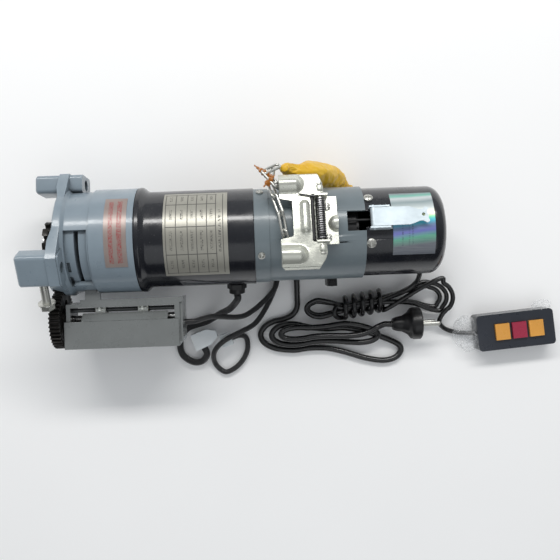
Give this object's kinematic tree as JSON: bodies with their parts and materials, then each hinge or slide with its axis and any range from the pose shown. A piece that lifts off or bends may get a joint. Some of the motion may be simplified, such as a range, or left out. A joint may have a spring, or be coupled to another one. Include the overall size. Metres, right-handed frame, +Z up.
{
  "type": "roller door side motor",
  "caption": "Tubular door-opener gearmotor with lug mount, limit switch box, hand-chain guide, brake release lever and wired push-button station.",
  "frame": {"origin": "point where the output axis, which is the motor axis, crosses the plane of the lower lug faces", "axes": "+X along the motor axis from the mounting face to the end cover, +Z up from the floor it rests on, +Y away from the limit-switch box"},
  "size_m": [0.5349, 0.2222, 0.1347],
  "materials": {
    "grey_paint": "semi-gloss light blue-grey enamel",
    "black_paint": "gloss navy-black powder coat",
    "box_paint": "satin grey paint on folded sheet steel",
    "bright_zinc": "bright zinc plate",
    "lever_zinc": "pale matt zinc plate",
    "cut_steel": "machined steel with a film of oil",
    "lamination_steel": "stacked laminations",
    "copper_winding": "varnished copper wire",
    "blackened_steel": "oiled black steel",
    "bronze": "sintered bronze",
    "spring_steel": "dark spring wire",
    "chain_zinc": "zinc-plated wire",
    "black_plastic": "black moulded plastic",
    "cable_rubber": "black cable sheath",
    "station_plastic": "dark slate moulded plastic",
    "white_nylon": "milky nylon",
    "nut_nylon": "grey-white nylon",
    "amber_button": "amber moulded plastic",
    "red_button": "crimson moulded plastic",
    "bag_fabric": "coated yellow fabric",
    "label_foil": "blank metallised foil"
  },
  "bodies": {
    "housing": {"mount_casting": "grey_paint", "clamp_bolts": "bright_zinc", "output_bearing": "cut_steel", "idler_stud": "bright_zinc", "layshaft_bushes": "bronze", "gearbox_cap": "grey_paint", "motor_barrel": "black_paint", "stator_core": "lamination_steel", "stator_windings": "copper_winding", "rotor_bearings": "cut_steel", "band_flange": "grey_paint", "housing_screws": "bright_zinc", "drum_housing": "grey_paint", "brake_magnet": "cut_steel", "brake_springs": "spring_steel", "end_cover": "black_paint", "capacitor": "white_nylon", "lever_bracket": "lever_zinc", "guide_bracket": "bright_zinc", "guide_pin": "bright_zinc", "guide_spring": "spring_steel", "hand_chain": "chain_zinc", "chain_bag": "bag_fabric", "limit_box": "box_paint", "limit_cover": "box_paint", "limit_switches": "black_plastic", "junction_box": "black_plastic", "cable_gland": "black_plastic", "limit_cable": "cable_rubber", "motor_cable": "cable_rubber", "connectors": "white_nylon", "power_cord": "cable_rubber", "station_cable": "cable_rubber", "plug_body": "cable_rubber", "plug_pins": "bright_zinc", "station_case": "station_plastic", "station_switches": "black_plastic", "labels": "label_foil"},
    "rotor": {"rotor_shaft": "cut_steel", "rotor_core": "lamination_steel", "brake_disc": "blackened_steel"},
    "layshaft_a": {"layshaft_a": "cut_steel"},
    "cluster": {"cluster_gear": "cut_steel"},
    "layshaft_b": {"layshaft_b": "cut_steel"},
    "output": {"output_shaft": "cut_steel", "output_sprocket": "blackened_steel", "limit_pinion": "cut_steel", "output_gear": "cut_steel"},
    "idler": {"idler_gear": "blackened_steel"},
    "limit_drive": {"limit_gear": "blackened_steel", "limit_screw": "cut_steel"},
    "nut_up": {"limit_nut_up": "nut_nylon"},
    "nut_down": {"limit_nut_down": "nut_nylon"},
    "chain_wheel": {"chain_wheel": "blackened_steel"},
    "brake_armature": {"brake_armature": "cut_steel"},
    "brake_lever": {"brake_lever": "lever_zinc"},
    "chain_guide": {"chain_guide": "bright_zinc"},
    "button_up": {"button_up": "amber_button"},
    "button_stop": {"button_stop": "red_button"},
    "button_down": {"button_down": "amber_button"}
  },
  "joints": [
    {"name": "rotor_spin", "type": "hinge", "parent": "housing", "child": "rotor", "pos_m": [0.1, 0, 0], "axis": [1, 0, 0], "range_deg": [-100000, 100000]},
    {"name": "layshaft_a_spin", "type": "hinge", "parent": "housing", "child": "layshaft_a", "pos_m": [0.07, 0.01225, 0.02122], "axis": [1, 0, 0], "range_deg": [-32465, 32465]},
    {"name": "cluster_spin", "type": "hinge", "parent": "housing", "child": "cluster", "pos_m": [0.07, 0, 0], "axis": [1, 0, 0], "range_deg": [-10530, 10530]},
    {"name": "layshaft_b_spin", "type": "hinge", "parent": "housing", "child": "layshaft_b", "pos_m": [0.07, -0.02302, -0.00838], "axis": [1, 0, 0], "range_deg": [-4826, 4826]},
    {"name": "output_spin", "type": "hinge", "parent": "housing", "child": "output", "pos_m": [0.04, 0, 0], "axis": [1, 0, 0], "range_deg": [-2212, 2212]},
    {"name": "idler_spin", "type": "hinge", "parent": "housing", "child": "idler", "pos_m": [0.02, -0.03375, 0], "axis": [1, 0, 0], "range_deg": [-2397, 2397]},
    {"name": "limit_screw_spin", "type": "hinge", "parent": "housing", "child": "limit_drive", "pos_m": [0.02, -0.07695, 0], "axis": [1, 0, 0], "range_deg": [-1438, 1438]},
    {"name": "nut_up_travel", "type": "slide", "parent": "housing", "child": "nut_up", "axis": [1, 0, 0], "range_m": [-0.0121, 0.0121]},
    {"name": "nut_down_travel", "type": "slide", "parent": "housing", "child": "nut_down", "axis": [1, 0, 0], "range_m": [-0.0121, 0.0121]},
    {"name": "chain_wheel_spin", "type": "hinge", "parent": "housing", "child": "chain_wheel", "pos_m": [0.253, 0, 0], "axis": [1, 0, 0], "continuous": true},
    {"name": "brake_lever_lift", "type": "hinge", "parent": "housing", "child": "brake_lever", "pos_m": [0.331, 0.01204, 0.04492], "axis": [0, -0.9659, 0.2588], "range_deg": [0, 10], "stiffness_Nm_per_rad": 0.02},
    {"name": "brake_release", "type": "slide", "parent": "housing", "child": "brake_armature", "axis": [1, 0, 0], "range_m": [0, 0.0011]},
    {"name": "guide_open", "type": "hinge", "parent": "housing", "child": "chain_guide", "pos_m": [0.281, 0.01385, 0.05168], "axis": [0, 0.9659, -0.2588], "range_deg": [0, 10], "stiffness_Nm_per_rad": 0.3},
    {"name": "button_up_press", "type": "slide", "parent": "housing", "child": "button_up", "axis": [0, 0, -1], "range_m": [0, 0.0025], "stiffness_N_per_m": 400},
    {"name": "button_stop_press", "type": "slide", "parent": "housing", "child": "button_stop", "axis": [0, 0, -1], "range_m": [0, 0.0025], "stiffness_N_per_m": 400},
    {"name": "button_down_press", "type": "slide", "parent": "housing", "child": "button_down", "axis": [0, 0, -1], "range_m": [0, 0.0025], "stiffness_N_per_m": 400}
  ],
  "couplings": [
    {"joint": "layshaft_a_spin", "follows": "rotor_spin", "ratio": -0.32432},
    {"joint": "cluster_spin", "follows": "rotor_spin", "ratio": 0.10519},
    {"joint": "layshaft_b_spin", "follows": "rotor_spin", "ratio": -0.04821},
    {"joint": "output_spin", "follows": "rotor_spin", "ratio": 0.022096},
    {"joint": "idler_spin", "follows": "rotor_spin", "ratio": -0.023938},
    {"joint": "limit_screw_spin", "follows": "rotor_spin", "ratio": 0.014363},
    {"joint": "nut_up_travel", "follows": "rotor_spin", "m_per_rad": -0.0000068577},
    {"joint": "nut_down_travel", "follows": "rotor_spin", "m_per_rad": -0.0000068577},
    {"joint": "brake_lever_lift", "follows": "brake_release", "rad_per_m": 157}
  ]
}
